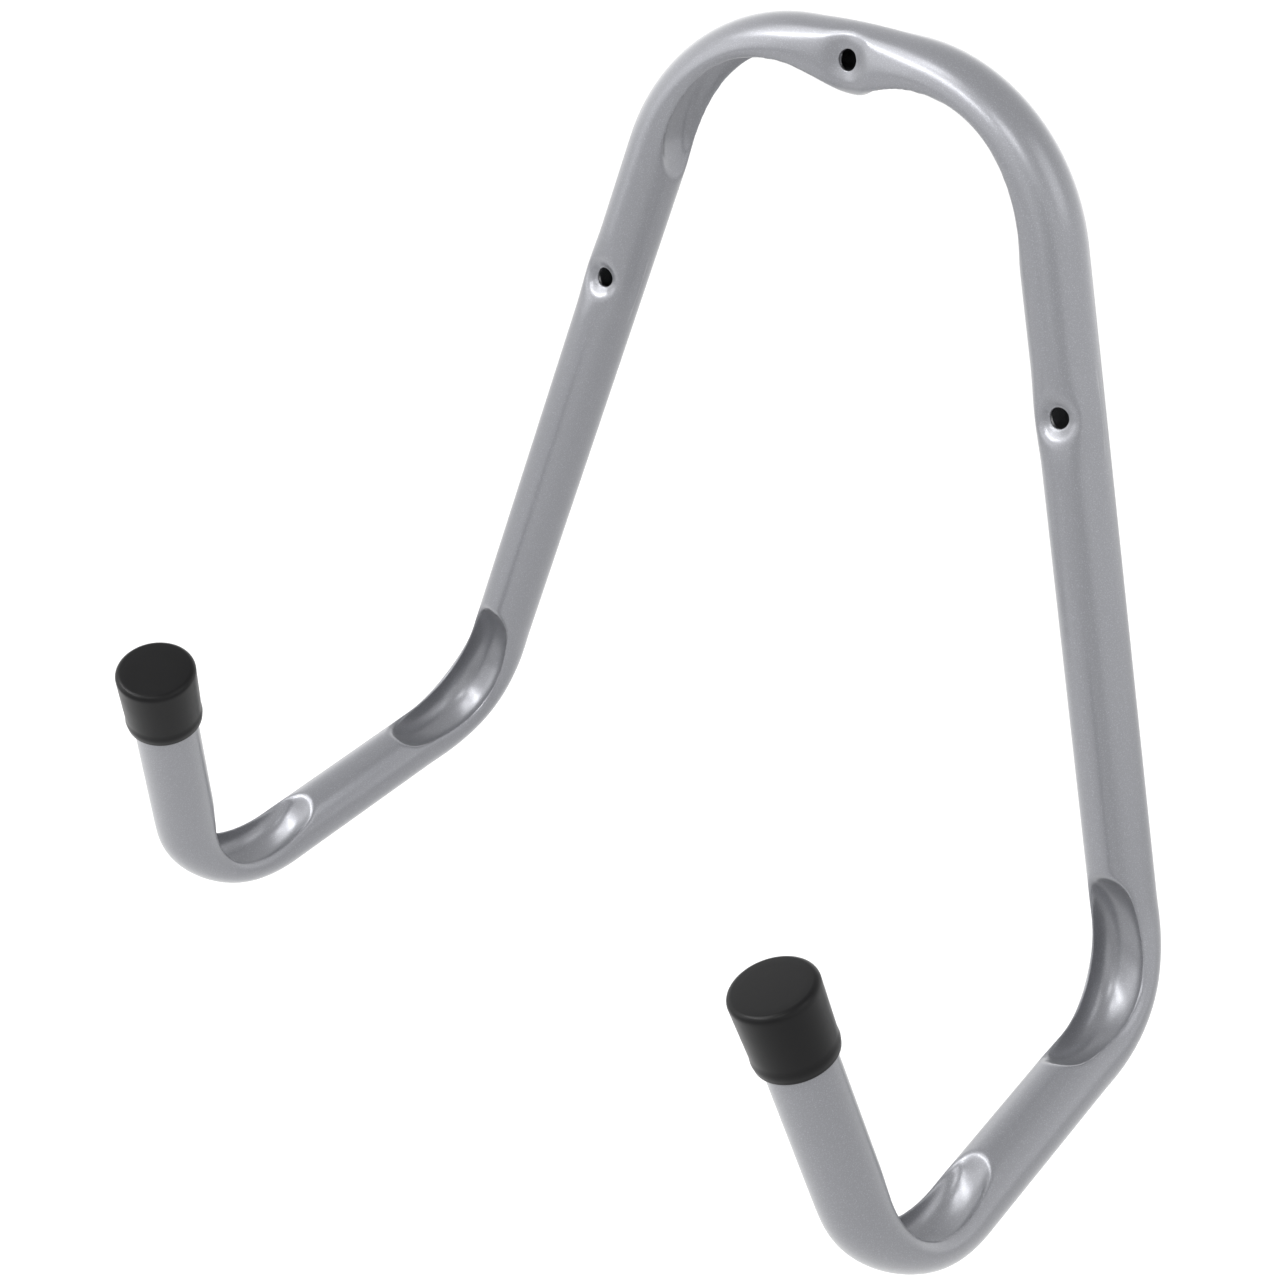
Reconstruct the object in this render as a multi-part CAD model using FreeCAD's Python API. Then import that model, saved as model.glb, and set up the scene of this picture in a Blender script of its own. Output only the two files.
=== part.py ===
import FreeCAD, Part
import math
import os
from FreeCAD import Vector

# Garage utility hook: one bent steel tube, pressed hollow at its six bends, with a push-on vinyl cap on each tip.
# Millimetres. The wall's face is the plane Y = 0 and the hook stands out from it towards -Y, with +Z up.
# The origin is on the axis of the top screw hole, at the wall.

# Tube
tube_diameter = 22.2
tube_wall = 1.2

# Corners of the tube's centreline, as if its bends had no radius
shoulder_half_span = 68.4
foot_half_span = 155.3
leg_drop = 287.3
arm_reach = 141.2
arm_fall = 42.4
arm_spread = 6.1
tip_reach = 41.8
tip_rise = 114.9
tip_lean = 26.5

# Radii of the centreline's bends
shoulder_radius = 63.7
foot_radius = 42.3
tip_radius = 42.2

# Hollow that the press wheel leaves on the inner side of each shoulder bend
shoulder_wheel_radius = 44.4
shoulder_inner_gap = 2.9
shoulder_hollow_width = 18.6
shoulder_crest_drop = 7.2
shoulder_wall_tilt = 1.1
shoulder_outer_flat = 0.4
shoulder_spread = 0.6
shoulder_shift = 8.3
shoulder_end_rise = 5.0
shoulder_end_reach = 28.0

# The same at the foot of each leg, where the tube turns forward
foot_wheel_radius = 31.6
foot_inner_gap = 3.4
foot_hollow_width = 17.8
foot_crest_drop = 4.4
foot_outer_flat = 0.4
foot_spread = 1.6

# The same at the tip bends, where the arms turn up
tip_wheel_radius = 31.6
tip_inner_gap = 1.2
tip_hollow_width = 17.8
tip_crest_drop = 4.4
tip_outer_flat = 2.6
tip_spread = 1.6

# All hollows
hollow_flank = 10.0
lip_blend = 1.2
squash_reach = 7.8
flank_power = 2.5

# Screw holes and the dents round them
screw_hole_diameter = 7.0
leg_hole_drop = 95.5
top_dent_radius = 11.5
top_dent_depth = 3.2
top_flat_depth = 1.2
top_flat_reach = 30.0
leg_dent_radius = 8.9
leg_dent_depth = 4.0
leg_flat_depth = 0.9
leg_flat_reach = 17.8
flat_blend = 2.8
flat_widening = 0.7

# End caps
cap_length = 25.4
cap_wall = 1.9
cap_taper = 0.7
cap_end = 2.5
cap_clearance = 0.1
cap_edge_radius = 2.0
cap_rim_height = 4.0
cap_rim_proud = 0.25

# Fineness of the tube's skins, and how many patches they are laid in
poles_round = 36
pressed_step = 2.4
outline_steps = 160
patches_round = 4
spans_per_patch = 6

tube_radius = tube_diameter / 2
FRONT = Vector(0, -1, 0)
RIGHT = Vector(1, 0, 0)
NO_FLOOR = 1000.0


class Press:
    """What the press wheel does to one bend, seen from the bend's inner side."""

    def __init__(self, wheel, gap, width, crest_drop, outer_flat, spread):
        self.wheel = wheel
        self.width = width
        self.crest_drop = crest_drop
        self.outer_flat = outer_flat
        self.spread = spread
        self.floor = -tube_radius + outer_flat + 2 * tube_wall + gap
        self.at_wall(spread, 0.0, 0.0, 0.0)

    def at_wall(self, spread_at_wall, wall_tilt, shift, end_rise):
        """What is different at the shoulders, which lie against the wall."""
        self.spread_at_wall = spread_at_wall
        self.wall_tilt = wall_tilt
        self.shift = shift
        self.end_rise = end_rise


class Run:
    """A straight stretch of the centreline."""

    def __init__(self, begin, start, along, length, front):
        self.begin = begin
        self.start = start
        self.along = along
        self.length = length
        self.front = front

    def frame(self, distance):
        """Centre, direction and front of the tube at a distance along the centreline."""
        return self.start + self.along * (distance - self.begin), self.along, self.front


class Bend:
    """An arc of the centreline, with its press."""

    def __init__(self, begin, start, along, turned, radius, front, press):
        self.begin = begin
        self.start = start
        self.along = along
        self.radius = radius
        self.front = front
        self.press = press
        self.angle = along.getAngle(turned)
        self.length = radius * self.angle
        self.axis = along.cross(turned).normalize()
        self.inward = self.axis.cross(along)
        self.centre = start + self.inward * radius
        self.middle = begin + self.length / 2

    def turn(self, vector, angle):
        """A vector turned about the bend's axis."""
        return FreeCAD.Rotation(self.axis, math.degrees(angle)).multVec(vector)

    def frame(self, distance):
        """Centre, direction and front of the tube at a distance along the centreline."""
        angle = (distance - self.begin) / self.radius
        centre = self.centre - self.turn(self.inward, angle) * self.radius
        return centre, self.turn(self.along, angle), self.turn(self.front, angle)

    def wheel_floor(self, distance, wall):
        """Height of the wheel's edge over the centreline, with the wheel grown by a wall."""
        wheel = self.press.wheel + wall
        offset = self.radius - self.press.wheel - self.press.floor
        from_middle = abs(distance + self.press.shift - self.middle)
        angle = min(from_middle, self.length / 2) / self.radius
        past = from_middle - angle * self.radius
        reach = wheel ** 2 - (past + offset * math.sin(angle)) ** 2
        if reach <= 0:
            return NO_FLOOR
        rise = self.press.end_rise * fade(distance / shoulder_end_reach)
        return self.radius - offset * math.cos(angle) - math.sqrt(reach) + rise

    def squash(self, distance):
        """Share of the full squash, which fades out past both ends of the bend."""
        from_middle = abs(distance + self.press.shift - self.middle)
        return fade(from_middle / (self.length / 2 + squash_reach))

    def zone(self):
        """The stretch of the centreline that the press reaches."""
        reach = self.length / 2 + squash_reach + abs(self.press.shift)
        while self.wheel_floor(self.middle + reach - abs(self.press.shift), 0) < tube_radius + 2 * lip_blend:
            reach += pressed_step
        return self.middle - reach - pressed_step, self.middle + reach + pressed_step

    def reaches(self, distance):
        """Whether the press shapes the tube at a distance. The rings at both ends of the zone stay round."""
        low, high = self.zone()
        return low + pressed_step / 2 < distance < high - pressed_step / 2


class Dent:
    """A screw hole's flat and dent in the front of the tube."""

    def __init__(self, centre, along, dent_radius, dent_depth, flat_depth, flat_reach):
        self.centre = centre
        self.dent_radius = dent_radius
        self.dent_depth = dent_depth
        self.along = along
        self.across = FRONT.cross(along)
        self.flat_depth = flat_depth
        self.flat_reach = flat_reach

    def press_in(self, point, wall):
        """A point of the skin that lies a wall inside the tube, moved by the flat and the dent."""
        local = point - self.centre
        ahead = local.dot(FRONT)
        along = local.dot(self.along)
        across = local.dot(self.across)
        if ahead <= 0 or abs(along) >= self.flat_reach:
            return point
        share = fade(abs(along) / self.flat_reach)
        level = tube_radius - wall - self.flat_depth
        moved = (smooth_min(ahead, level, flat_blend) - ahead) * share
        wider = across * flat_widening / tube_radius * share
        near = min(1.0, math.hypot(along, across) / self.dent_radius)
        facing = min(1.0, ahead / (tube_radius / 2))
        moved -= self.dent_depth * facing * (1 + math.cos(math.pi * near)) / 2
        return point + FRONT * moved + self.across * wider


def fade(share):
    """1 at 0, falling smoothly to 0 at 1."""
    return math.cos(min(1.0, share) * math.pi / 2) ** 2


def smooth_min(first, second, blend):
    """The lesser of two heights, with a rounded change over."""
    share = min(1.0, max(0.0, 0.5 + 0.5 * (second - first) / blend))
    return second * (1 - share) + first * share - blend * share * (1 - share)


def right_half():
    """Runs and bends of the centreline, from the middle of the top to the end of the right tip."""
    level = -tube_radius
    corners = [Vector(0, level, 0), Vector(shoulder_half_span, level, 0), Vector(foot_half_span, level, -leg_drop)]
    corners.append(corners[-1] + Vector(arm_spread, -arm_reach, -arm_fall))
    corners.append(corners[-1] + Vector(-tip_lean, -tip_reach, tip_rise))
    shoulder = Press(shoulder_wheel_radius, shoulder_inner_gap, shoulder_hollow_width, shoulder_crest_drop,
                     shoulder_outer_flat, shoulder_spread)
    shoulder.at_wall(0.0, shoulder_wall_tilt, shoulder_shift, shoulder_end_rise)
    foot = Press(foot_wheel_radius, foot_inner_gap, foot_hollow_width, foot_crest_drop, foot_outer_flat, foot_spread)
    tip = Press(tip_wheel_radius, tip_inner_gap, tip_hollow_width, tip_crest_drop, tip_outer_flat, tip_spread)
    pieces = []
    distance = 0.0
    start = corners[0]
    front = FRONT
    bends = zip((shoulder_radius, foot_radius, tip_radius), (shoulder, foot, tip))
    for corner, before, after, (radius, press) in zip(corners[1:], corners, corners[2:], bends):
        along = (corner - before).normalize()
        turned = (after - corner).normalize()
        tangent = radius * math.tan(along.getAngle(turned) / 2)
        run = Run(distance, start, along, (corner - along * tangent - start).Length, front)
        bend = Bend(distance + run.length, corner - along * tangent, along, turned, radius, front, press)
        pieces += [run, bend]
        distance += run.length + bend.length
        start = corner + turned * tangent
        front = bend.turn(front, bend.angle)
    last = (corners[-1] - corners[-2]).normalize()
    pieces.append(Run(distance, start, last, (corners[-1] - start).Length - cap_end, front))
    return pieces


def piece_at(pieces, distance):
    """The run or bend that holds a distance along the centreline."""
    for piece in pieces:
        if distance <= piece.begin + piece.length:
            return piece
    return pieces[-1]


def half_outline(wall, bend, distance, wallward):
    """Half of a section, from the middle of the bend's inner side to the middle of its outer side.

    Each point is a distance to the side and a height towards the inner side of the bend. Wallward is 1 for
    the half that faces the wall, -1 for the half that faces away from it and 0 for a half that does neither.
    """
    radius = tube_radius - wall
    press = bend.press
    squash = bend.squash(distance)
    floor = bend.wheel_floor(distance, wall)
    half_width = press.width / 2 + wall
    outer_half = 1 - press.outer_flat * squash / radius
    points = []
    for step in range(outline_steps + 1):
        angle = math.pi * step / outline_steps
        side = radius * math.sin(angle)
        height = radius * math.cos(angle)
        hollow = NO_FLOOR
        if side < half_width:
            share = (side / half_width) ** flank_power
            hollow = floor + hollow_flank * (1 - (1 - share) ** (1 / flank_power))
        if height > 0:
            underside = -height * outer_half
            drop = press.crest_drop + press.wall_tilt * wallward * side / radius
            height *= 1 - drop * squash / radius
            height = smooth_min(height, min(hollow, height + 3 * lip_blend), 2 * lip_blend)
            if height > underside:
                points.append((side, height))
        elif height * outer_half < hollow:
            points.append((side, height * outer_half))
    return points


def spaced(points, count):
    """Points at equal steps of length along an outline."""
    lengths = [0.0]
    for before, after in zip(points, points[1:]):
        lengths.append(lengths[-1] + math.hypot(after[0] - before[0], after[1] - before[1]))
    result = []
    index = 0
    for step in range(count + 1):
        wanted = lengths[-1] * step / count
        while index < len(points) - 2 and lengths[index + 1] < wanted:
            index += 1
        share = (wanted - lengths[index]) / (lengths[index + 1] - lengths[index])
        before = points[index]
        after = points[index + 1]
        result.append((before[0] + (after[0] - before[0]) * share, before[1] + (after[1] - before[1]) * share))
    return result


def section(pieces, dents, distance, wall):
    """Points round the tube at a distance along the right half, on the skin that lies a wall inside."""
    centre, along, front = piece_at(pieces, distance).frame(distance)
    across = along.cross(front)
    radius = tube_radius - wall
    pressed = [piece for piece in pieces if isinstance(piece, Bend) and piece.reaches(distance)]
    result = []
    halves = None
    if pressed:
        bend = min(pressed, key=lambda candidate: abs(candidate.middle - distance))
        inner_angle = math.atan2(bend.inward.dot(bend.along.cross(bend.front)), bend.inward.dot(bend.front))
        halves = {way: spaced(half_outline(wall, bend, distance, way * math.sin(inner_angle)), outline_steps)
                  for way in (1, -1)}
        squash = bend.squash(distance)
    for pole in range(poles_round):
        angle = 2 * math.pi * pole / poles_round - math.pi * 3 / 4
        if halves is None:
            ahead = radius * math.cos(angle)
            aside = radius * math.sin(angle)
        else:
            turned = (angle - inner_angle + math.pi) % (2 * math.pi) - math.pi
            outline = halves[1 if turned >= 0 else -1]
            place = abs(turned) / math.pi * outline_steps
            index = min(int(place), outline_steps - 1)
            share = place - index
            side = outline[index][0] * (1 - share) + outline[index + 1][0] * share
            height = outline[index][1] * (1 - share) + outline[index + 1][1] * share
            side = math.copysign(side, turned)
            ahead = height * math.cos(inner_angle) - side * math.sin(inner_angle)
            spread = bend.press.spread if ahead > 0 else bend.press.spread_at_wall
            side *= 1 + spread * squash / radius
            ahead = height * math.cos(inner_angle) - side * math.sin(inner_angle)
            aside = height * math.sin(inner_angle) + side * math.cos(inner_angle)
        point = centre + front * ahead + across * aside
        for dent in dents:
            point = dent.press_in(point, wall)
        result.append(point)
    return result


def mirrored(points):
    """Points of the left half from those of the right half."""
    return [Vector(-point.x, point.y, point.z) for point in points]


def ring(pieces, dents, distance, wall):
    """Poles of one ring of the skin, set so that the smooth ring passes close to the section's points."""
    points = section(pieces, dents, abs(distance), wall)
    if distance < 0:
        points = mirrored(points)
    count = len(points)
    poles = []
    for index, point in enumerate(points):
        second = points[index - 1] + points[(index + 1) % count] - point * 2
        poles.append(point - second * (1 / 6))
    return poles


def skin(pieces, dents, low, high, wall, step):
    """Faces round the tube from one distance to another. A straight stretch has no step and only two rings."""
    degree = 3 if step else 1
    spans = max(1, round((high - low) / step)) if step else 1
    knots = [low + (high - low) * index / spans for index in range(spans + 1)]
    full = [low] * degree + knots + [high] * degree
    places = [sum(full[index + 1:index + 1 + degree]) / degree for index in range(spans + degree)]
    rings = [ring(pieces, dents, place, wall) for place in places]
    poles = [list(column) for column in zip(*rings)]
    round_knots = [float(index) for index in range(poles_round + 1)]
    surface = Part.BSplineSurface()
    surface.buildFromPolesMultsKnots(poles, [1] * (poles_round + 1), [degree + 1] + [1] * (spans - 1) + [degree + 1],
                                     round_knots, knots, True, False, 3, degree)
    lengths = math.ceil(spans / spans_per_patch)
    cuts = [knots[round(spans * index / lengths)] for index in range(lengths + 1)]
    faces = []
    for first, last in zip(cuts, cuts[1:]):
        for index in range(patches_round):
            patch = surface.copy()
            patch.segment(poles_round * index / patches_round, poles_round * (index + 1) / patches_round, first, last)
            faces.append(patch.toShape())
    return faces


def zones(pieces, dents_at):
    """Stretches of the right half that are pressed, joined where they meet."""
    stretches = [piece.zone() for piece in pieces if isinstance(piece, Bend)]
    stretches += [(place - reach, place + reach) for place, reach in dents_at]
    end = pieces[-1].begin + pieces[-1].length
    merged = []
    for low, high in sorted(stretches):
        if merged and low < merged[-1][1] + 2 * pressed_step:
            merged[-1] = (merged[-1][0], max(high, merged[-1][1]))
        else:
            merged.append((low, high))
    return [(low, min(high, end)) for low, high in merged], end


def end_face(skins, end, along):
    """The flat ring between the outer and the inner skin at the tube's end."""
    rims = []
    for faces in skins:
        edges = [edge for face in faces for edge in face.Edges]
        rim = [edge for edge in edges if abs((edge.CenterOfMass - end).dot(along)) < tube_wall / 2]
        rims.append(Part.Wire(Part.__sortEdges__(rim)))
    return Part.makeFace(rims, "Part::FaceMakerBullseye")


def bent_tube():
    """The pressed tube with its three screw holes, as one hollow solid."""
    pieces = right_half()
    leg = pieces[2]
    hole_along_leg = (leg_hole_drop + leg.start.z) / -leg.along.z
    top_hole = Vector(0, -tube_radius, 0)
    leg_hole = leg.start + leg.along * hole_along_leg
    dents = [Dent(top_hole, RIGHT, top_dent_radius, top_dent_depth, top_flat_depth, top_flat_reach),
             Dent(leg_hole, leg.along, leg_dent_radius, leg_dent_depth, leg_flat_depth, leg_flat_reach)]
    leg_zone = (leg.begin + hole_along_leg, leg_flat_reach + pressed_step)
    pressed, end = zones(pieces, [(0.0, top_flat_reach + pressed_step), leg_zone])
    middle = []
    right = []
    skins_at_end = []
    for wall in (0.0, tube_wall):
        top = pressed[0][1]
        middle += skin(pieces, dents, -top, top, wall, pressed_step)
        before = top
        for low, high in pressed[1:]:
            right += skin(pieces, dents, before, low, wall, None)
            right += skin(pieces, dents, low, high, wall, pressed_step)
            before = high
        skins_at_end.append(skin(pieces, dents, before, end, wall, None))
        right += skins_at_end[-1]
    centre, along, front = pieces[-1].frame(end)
    right.append(end_face(skins_at_end, centre, along))
    left = [face.mirror(Vector(0, 0, 0), RIGHT) for face in right]
    sewn = Part.makeCompound(middle + right + left)
    sewn.sewShape()
    solid = Part.Solid(sewn.Shells[0])
    if solid.Volume < 0:
        solid.reverse()
    for hole in (top_hole, leg_hole, Vector(-leg_hole.x, leg_hole.y, leg_hole.z)):
        drill = Part.makeCylinder(screw_hole_diameter / 2, 4 * tube_radius, hole + FRONT * 2 * tube_radius, -FRONT)
        solid = solid.cut(drill)
    return solid.Solids[0], centre, along


def end_cap(seat, along):
    """A push-on cap, turned about the tip's axis with its inner end face on the tube's end.

    It widens from its mouth to its closed end, and has a low rim round the mouth.
    """
    bore = tube_radius + cap_clearance
    mouth = bore + cap_wall
    outside = mouth + cap_taper
    foot = cap_end - cap_length
    edge = cap_edge_radius * math.sqrt(0.5)
    corner = Vector(outside - cap_edge_radius, 0, cap_end - cap_edge_radius)
    widening = cap_taper * cap_rim_height / (corner.z - foot)
    rim = Vector(mouth + widening, 0, foot + cap_rim_height)
    lines = [(Vector(0, 0, 0), Vector(bore, 0, 0)),
             (Vector(bore, 0, 0), Vector(bore, 0, foot)),
             (Vector(bore, 0, foot), Vector(mouth, 0, foot)),
             (rim, Vector(outside, 0, corner.z)),
             (Vector(corner.x, 0, cap_end), Vector(0, 0, cap_end)),
             (Vector(0, 0, cap_end), Vector(0, 0, 0))]
    edges = [Part.LineSegment(first, second).toShape() for first, second in lines]
    rim_crown = Vector(mouth + widening / 2 + cap_rim_proud, 0, foot + cap_rim_height / 2)
    edges.insert(3, Part.Arc(lines[2][1], rim_crown, rim).toShape())
    shoulder = Part.Arc(lines[3][1], corner + Vector(edge, 0, edge), lines[4][0])
    edges.insert(5, shoulder.toShape())
    cap = Part.Face(Part.Wire(edges)).revolve(Vector(0, 0, 0), Vector(0, 0, 1), 360)
    cap.Placement = FreeCAD.Placement(seat, FreeCAD.Rotation(Vector(0, 0, 1), along))
    return cap.Solids[0]


def main():
    """Build the three pieces and write each to its own file."""
    os.makedirs("parts", exist_ok=True)
    tube, tip_end, tip_along = bent_tube()
    right_cap = end_cap(tip_end, tip_along)
    left_cap = right_cap.mirror(Vector(0, 0, 0), RIGHT)
    nodes = {"bent_tube": tube, "right_end_cap": right_cap, "left_end_cap": left_cap}
    for name, shape in nodes.items():
        shape.exportStep("parts/" + name + ".step")
        box = shape.BoundBox
        print(name, "valid", shape.isValid(), "volume %.0f" % shape.Volume,
              "x %.1f %.1f y %.1f %.1f z %.1f %.1f" % (box.XMin, box.XMax, box.YMin, box.YMax, box.ZMin, box.ZMax))


main()
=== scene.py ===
"""Looks of a garage utility hook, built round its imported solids.

The hook is one steel tube, bent and pressed at six corners, with three dented screw holes, a silver powder
coat and a black vinyl cap on each tip. The tube and the caps are modelled here again, much finer than the
solids, from the same sizes. Sizes are millimetres until a mesh is made, and metres from there on. The wall is
the plane Y = 0.
"""

import logging
import math
from dataclasses import dataclass, field
from enum import Enum

import bmesh
import bpy
import numpy as np
from mathutils import Matrix, Vector


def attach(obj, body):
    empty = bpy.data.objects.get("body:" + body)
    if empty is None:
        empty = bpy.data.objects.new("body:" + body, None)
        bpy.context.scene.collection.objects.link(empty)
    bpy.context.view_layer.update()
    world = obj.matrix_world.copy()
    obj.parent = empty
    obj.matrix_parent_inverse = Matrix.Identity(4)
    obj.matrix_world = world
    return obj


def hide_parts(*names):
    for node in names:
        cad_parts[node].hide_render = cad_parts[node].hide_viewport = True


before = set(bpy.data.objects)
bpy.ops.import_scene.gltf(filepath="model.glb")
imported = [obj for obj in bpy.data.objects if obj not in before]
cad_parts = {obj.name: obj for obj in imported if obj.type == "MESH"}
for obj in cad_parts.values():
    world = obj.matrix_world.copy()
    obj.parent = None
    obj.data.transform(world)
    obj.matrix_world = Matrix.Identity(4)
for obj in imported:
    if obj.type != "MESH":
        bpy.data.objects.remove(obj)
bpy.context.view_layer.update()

log = logging.getLogger("utility_hook")

MM = 0.001
TUBE_RADIUS = 11.1
TUBE_WALL = 1.2
FRONT = np.array([0.0, -1.0, 0.0])
RIGHT = np.array([1.0, 0.0, 0.0])
UP = np.array([0.0, 0.0, 1.0])
# A height far over the tube, which marks where a hollow has no floor.
NO_FLOOR = 1000.0

# Distances of a skin's rings, angles of its columns, and the distance and angle of a screw hole's middle.
Guess = tuple[np.ndarray, np.ndarray, float, float]
# Numbers of a skin's points, the rim of the gap round a screw hole, and the guess that goes with them.
Opening = tuple[np.ndarray, np.ndarray, Guess]


class Skin(Enum):
    """Which of the tube's two skins, as its depth in the wall."""

    OUTER = 0.0
    INNER = TUBE_WALL


class Side(Enum):
    """Which half of the hook, as the sign of X."""

    LEFT = -1
    RIGHT = 1


class Face(Enum):
    """Which side of the tube a screw hole breaks through, as an angle round the tube from its front."""

    FRONT = 0.0
    BACK = math.pi


def fade(share: np.ndarray) -> np.ndarray:
    """1 at 0, falling smoothly to 0 at 1."""
    return np.cos(np.minimum(1.0, share) * math.pi / 2) ** 2


def smooth_min(first: np.ndarray, second: np.ndarray, blend: float) -> np.ndarray:
    """The lesser of two heights, with a rounded change over."""
    share = np.clip(0.5 + 0.5 * (second - first) / blend, 0.0, 1.0)
    return second * (1 - share) + first * share - blend * share * (1 - share)


def unit(vector: np.ndarray) -> np.ndarray:
    """The vector at length 1."""
    return vector / np.linalg.norm(vector)


def turned(vector: np.ndarray, axis: np.ndarray, angles: np.ndarray) -> np.ndarray:
    """A vector turned about an axis.

    Args:
        vector: The vector to turn.
        axis: The axis, at length 1.
        angles: One angle for each result, in radians.

    Returns:
        One turned vector a row.
    """
    cos = np.cos(angles)[:, None]
    sin = np.sin(angles)[:, None]
    return vector * cos + np.cross(axis, vector) * sin + axis * (axis @ vector) * (1 - cos)


def linear(code: str) -> tuple[float, float, float, float]:
    """The linear colour of an sRGB hex value, by the curve of the sRGB standard.

    Args:
        code: The value, such as "9a9ba0".

    Returns:
        Red, green, blue and an alpha of 1.
    """
    shares = [int(code[place:place + 2], 16) / 255 for place in (0, 2, 4)]
    red, green, blue = [v / 12.92 if v <= 0.04045 else ((v + 0.055) / 1.055) ** 2.4 for v in shares]
    return red, green, blue, 1.0


def add_node(tree: bpy.types.NodeTree, kind: str, settings: dict | None = None,
             links: dict | None = None) -> bpy.types.Node:
    """Add a node to a material.

    Args:
        tree: The node tree.
        kind: The node's type name.
        settings: Values by name, for the node's own settings and for its inputs.
        links: The output that goes into each input, by the input's name or number.

    Returns:
        The new node.
    """
    node = tree.nodes.new(kind)
    for name, value in (settings or {}).items():
        if name in node.inputs:
            node.inputs[name].default_value = value
        else:
            setattr(node, name, value)
    for name, output in (links or {}).items():
        tree.links.new(output, node.inputs[name])
    return node


def new_material(name: str) -> bpy.types.Material:
    """Add a material with an empty node tree.

    Args:
        name: The material's name.

    Returns:
        The new material.
    """
    material = bpy.data.materials.new(name)
    material.use_nodes = True
    material.node_tree.nodes.clear()
    return material


@dataclass(frozen=True)
class SilverPowderCoat:
    """Polyester powder with fine aluminium flake, sprayed on dry steel and baked.

    To the eye it is a mid grey with a soft metallic lift, wide satin highlights, a faint waviness of the
    baked film and a very fine flake that shows only close up.
    """

    colour: str = "737478"
    flake_light: str = "86878c"
    metallic: float = 0.5
    roughness: float = 0.31
    film_weight: float = 0.25
    film_roughness: float = 0.18
    film_ior: float = 1.5
    wave_mm: float = 1.8
    wave_height_mm: float = 0.006
    wave_strength: float = 0.6
    flake_mm: float = 0.35
    flake_from: float = 0.52
    flake_full: float = 0.75

    def build(self) -> bpy.types.Material:
        """Make the material, with its patterns sized in millimetres.

        Returns:
            The new material.
        """
        material = new_material("silver_powder_coat")
        tree = material.node_tree
        place = add_node(tree, "ShaderNodeTexCoord").outputs["Object"]
        # Aluminium flake is 0.02 to 0.05 mm. It is drawn coarser so that it shows at all.
        flake = add_node(tree, "ShaderNodeTexNoise",
                         {"Scale": 1 / (self.flake_mm * MM), "Detail": 2.0}, {"Vector": place})
        lift = add_node(tree, "ShaderNodeMapRange",
                        {"From Min": self.flake_from, "From Max": self.flake_full},
                        {"Value": flake.outputs["Fac"]})
        colour = add_node(tree, "ShaderNodeMix", {"data_type": "RGBA"}, {0: lift.outputs["Result"]})
        colour.inputs[6].default_value = linear(self.colour)
        colour.inputs[7].default_value = linear(self.flake_light)
        # The baked film's orange peel has waves of one to three millimetres.
        peel = add_node(tree, "ShaderNodeTexNoise",
                        {"Scale": 1 / (self.wave_mm * MM), "Detail": 1.0}, {"Vector": place})
        bump = add_node(tree, "ShaderNodeBump",
                        {"Strength": self.wave_strength, "Distance": self.wave_height_mm * MM},
                        {"Height": peel.outputs["Fac"]})
        shader = add_node(tree, "ShaderNodeBsdfPrincipled",
                          {"Metallic": self.metallic, "Roughness": self.roughness,
                           "Coat Weight": self.film_weight, "Coat Roughness": self.film_roughness,
                           "Coat IOR": self.film_ior},
                          {"Base Color": colour.outputs[2], "Normal": bump.outputs["Normal"]})
        add_node(tree, "ShaderNodeOutputMaterial", None, {"Surface": shader.outputs["BSDF"]})
        return material


@dataclass(frozen=True)
class DippedVinyl:
    """Soft black vinyl, dip moulded on a smooth former.

    To the eye it is a deep black with a satin skin: soft highlights on its edges and a slight unevenness in
    the gloss where the dip drained.
    """

    colour: str = "060607"
    roughness: float = 0.33
    ior: float = 1.53
    specular_level: float = 0.15
    drain_mm: float = 6.0
    drain_glossier: float = 0.06
    drain_duller: float = 0.08
    ripple_mm: float = 1.4
    ripple_height_mm: float = 0.01
    ripple_strength: float = 0.7

    def build(self) -> bpy.types.Material:
        """Make the material, with its patterns sized in millimetres.

        Returns:
            The new material.
        """
        material = new_material("black_dipped_vinyl")
        tree = material.node_tree
        place = add_node(tree, "ShaderNodeTexCoord").outputs["Object"]
        drain = add_node(tree, "ShaderNodeTexNoise",
                         {"Scale": 1 / (self.drain_mm * MM), "Detail": 3.0}, {"Vector": place})
        gloss = add_node(tree, "ShaderNodeMapRange",
                         {"To Min": self.roughness - self.drain_glossier,
                          "To Max": self.roughness + self.drain_duller},
                         {"Value": drain.outputs["Fac"]})
        ripple = add_node(tree, "ShaderNodeTexNoise",
                          {"Scale": 1 / (self.ripple_mm * MM), "Detail": 2.0}, {"Vector": place})
        bump = add_node(tree, "ShaderNodeBump",
                        {"Strength": self.ripple_strength, "Distance": self.ripple_height_mm * MM},
                        {"Height": ripple.outputs["Fac"]})
        shader = add_node(tree, "ShaderNodeBsdfPrincipled",
                          {"Base Color": linear(self.colour), "IOR": self.ior,
                           "Specular IOR Level": self.specular_level},
                          {"Roughness": gloss.outputs["Result"], "Normal": bump.outputs["Normal"]})
        add_node(tree, "ShaderNodeOutputMaterial", None, {"Surface": shader.outputs["BSDF"]})
        return material


@dataclass(frozen=True)
class StudioPaper:
    """Matt white background paper, which gives the eye nothing but a pale even ground."""

    colour: str = "ebebeb"
    roughness: float = 0.9

    def build(self) -> bpy.types.Material:
        """Make the material.

        Returns:
            The new material.
        """
        material = new_material("white_background_paper")
        tree = material.node_tree
        shader = add_node(tree, "ShaderNodeBsdfPrincipled",
                          {"Base Color": linear(self.colour), "Roughness": self.roughness})
        add_node(tree, "ShaderNodeOutputMaterial", None, {"Surface": shader.outputs["BSDF"]})
        return material


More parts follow.
